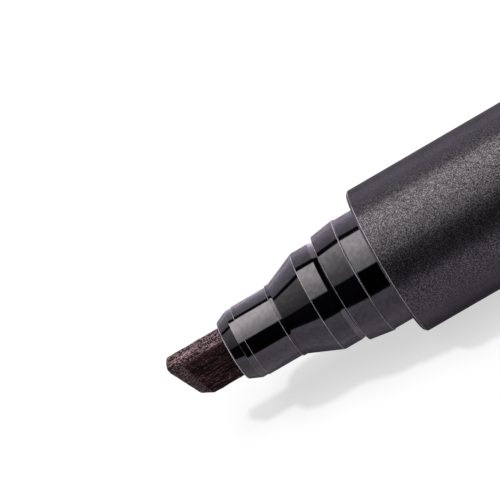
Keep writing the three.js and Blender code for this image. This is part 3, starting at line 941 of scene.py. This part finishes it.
def clip_rings():
    """Rings round the clip's section, from the root at the cap's closed end to the rounded tip."""
    root, tip = cap_length - 1.4, 7.0
    thickness, gap, bead_rise, nose = 1.5, 1.5, 0.9, 1.2
    tip_half_width, root_length, sunk = 2.3, 4.6, cap_end_radius - 0.7
    under = clip_radius - thickness
    bead_reach = 4.5
    # Rings lie closer together at the root, along the bead under the clip and round the tip
    stations = [root - 0.01 - 1.3 * (k / 8) ** 2 for k in range(9)]
    stations += [root - 1.6 - 0.4 * k for k in range(12)]
    stations += [root - 7 - 1.5 * k for k in range(13)]
    stations += [tip + 6 - 0.3 * k for k in range(14)]
    stations += [tip + 2 * (1 - math.sin(math.pi / 2 * k / 14)) + 0.004 for k in range(1, 15)]
    rings = []
    for x in stations:
        top, low = clip_radius, under
        for end in (root - x, x - tip):
            if end < nose:
                top = clip_radius - nose + math.sqrt(max(0, nose ** 2 - (nose - end) ** 2))
        if x > root - root_length:
            low = sunk
        elif x > root - root_length - gap:
            low = under - gap + math.sqrt(max(0, gap ** 2 - (x - root + root_length + gap) ** 2))
            low = max(low, sunk)
        elif x < tip + bead_reach:
            low = under - bead_rise * math.sin(math.pi * (x - tip) / bead_reach) ** 1.5
        half = tip_half_width + (clip_half_width - tip_half_width) * (x - tip) / (root - tip)
        if x < tip + tip_half_width:
            half = math.sqrt(max(1e-4, tip_half_width ** 2 - (tip_half_width + tip - x) ** 2))
        corner = max(0.01, min(0.45, half * 0.6, (top - low) * 0.35))
        ring = []
        for quarter, (side, level) in enumerate(((1, top), (-1, top), (-1, low), (1, low))):
            out = 1 if quarter < 2 else -1
            for k in range(7):
                turn = math.pi / 2 * (quarter + k / 6)
                y = side * (half - corner) + corner * math.cos(turn)
                z = level - out * corner + corner * math.sin(turn)
                ring.append((x, y, z, math.sin(math.pi * k / 6)))
        rings.append(ring)
    first, last = (
        [tuple(sum(point[i] for point in ring) / len(ring) for i in range(4))]
        for ring in (rings[0], rings[-1])
    )
    return [first] + rings + [last]


def joined(base, others):
    """Moulds the other bodies into the base, as one closed skin."""
    for other in others:
        union = base.modifiers.new("joined", "BOOLEAN")
        union.operation = "UNION"
        union.solver = "EXACT"
        union.object = other
        graph = bpy.context.evaluated_depsgraph_get()
        whole = bpy.data.meshes.new_from_object(base.evaluated_get(graph))
        base.modifiers.clear()
        base.data = whole
        bpy.data.objects.remove(other)


def build_cap_shell():
    lip_length, lead_in, rib_width, rib_sunk = 3.1, 0.4, 1.0, 0.3
    lip = snap_radius + clearance
    bore = barrel_radius - cap_wall
    inside = cap_length - cap_end_wall
    shell = [
        (lip + lead_in, 0, 0.05),
        (barrel_radius, 0, 0.3),
        (cap_end_radius, cap_length, 1.0),
        (0, cap_length),
        (0, inside),
        (bore - cap_taper, inside, 0.5),
        (bore, lip_length + lead_in, 0.1),
        (lip, lip_length, 0.1),
        (lip, lead_in, 0.1),
    ]
    cap = turned_piece("cap_moulding", [(c[0], cap_mouth + c[1], *c[2:]) for c in shell])
    extras = []
    clip = bmesh.new()
    skin(clip, clip_rings(), closed=False)
    clip_angle = math.asin(barrel_radius / math.hypot(clip_radius, clip_half_width))
    clip_angle -= math.atan2(clip_half_width, clip_radius)
    turn = Matrix.Rotation(-math.pi / 2 - clip_angle, 3, "X")
    bmesh.ops.rotate(clip, cent=(0, 0, 0), matrix=turn, verts=clip.verts)
    bmesh.ops.translate(clip, vec=(cap_mouth, 0, 0), verts=clip.verts)
    extras.append(solid("clip", clip))
    rib_inner = liner_outer + clearance
    rib_start = liner_start + liner_flange + clearance
    for k in range(6):
        rib = bmesh.new()
        bmesh.ops.create_cube(rib, size=1)
        rib_end = inside + cap_end_wall / 2
        height = bore - cap_taper + rib_sunk - rib_inner
        bmesh.ops.scale(rib, vec=(rib_end - rib_start, rib_width, height), verts=rib.verts)
        shift = (cap_mouth + (rib_start + rib_end) / 2, 0, rib_inner + height / 2)
        bmesh.ops.translate(rib, vec=shift, verts=rib.verts)
        turn = Matrix.Rotation(k * math.pi / 3, 3, "X")
        bmesh.ops.rotate(rib, cent=(0, 0, 0), matrix=turn, verts=rib.verts)
        extras.append(solid(f"rib_{k}", rib))
    joined(cap, extras)
    plastic = satin_black(
        "cap_plastic", (0.009, 0.009, 0.01), (0.015, 0.0145, 0.016),
        rough=0.26, grain_size=0.25, depth=0.008, wear=0.7,
    )
    cap.data.materials.clear()
    cap.data.materials.append(plastic)
    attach(cap, "cap")
    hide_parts("cap_shell")


build_cap_shell()

# Inner cap: a soft liner moulded in milky polyethylene and pushed in between the cap's ribs. It
# closes round the nose when the cap is on the point, and keeps the ink from drying.


def liner_plastic():
    material, n, shader = finish("liner_plastic", IOR=1.5)
    grain = place_group(n, moulded_grain, Grain=0.3, Mottle=2.0)
    color = n.mix(grain.outputs["Mottle"], (0.66, 0.66, 0.62, 1), (0.74, 0.74, 0.71, 1))
    n.put(shader, "Base Color", color)
    n.put(shader, "Roughness", n.ramp(grain.outputs["Mottle"], 0, 1, 0.42, 0.52))
    bump(n, shader, grain.outputs["Pits"], 0.01, 0.5)
    return material


def build_inner_cap():
    liner_bore, end_wall, lead_in = 4.2, 1.0, 1.0
    flange = barrel_radius - cap_wall - cap_taper - clearance
    end = cap_length - cap_end_wall - clearance
    corners = [
        (liner_bore + lead_in, liner_start, 0.05),
        (flange, liner_start, 0.1),
        (flange, liner_start + liner_flange, 0.1),
        (liner_outer, liner_start + liner_flange, 0.1),
        (liner_outer, end, 0.55),
        (0, end),
        (0, end - end_wall),
        (liner_bore, end - end_wall, 0.2),
        (liner_bore, liner_start + lead_in, 0.2),
    ]
    liner = turned_piece("inner_cap_moulding", [(c[0], cap_mouth + c[1], *c[2:]) for c in corners])
    liner.data.materials.append(liner_plastic())
    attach(liner, "cap")
    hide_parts("inner_cap")


build_inner_cap()
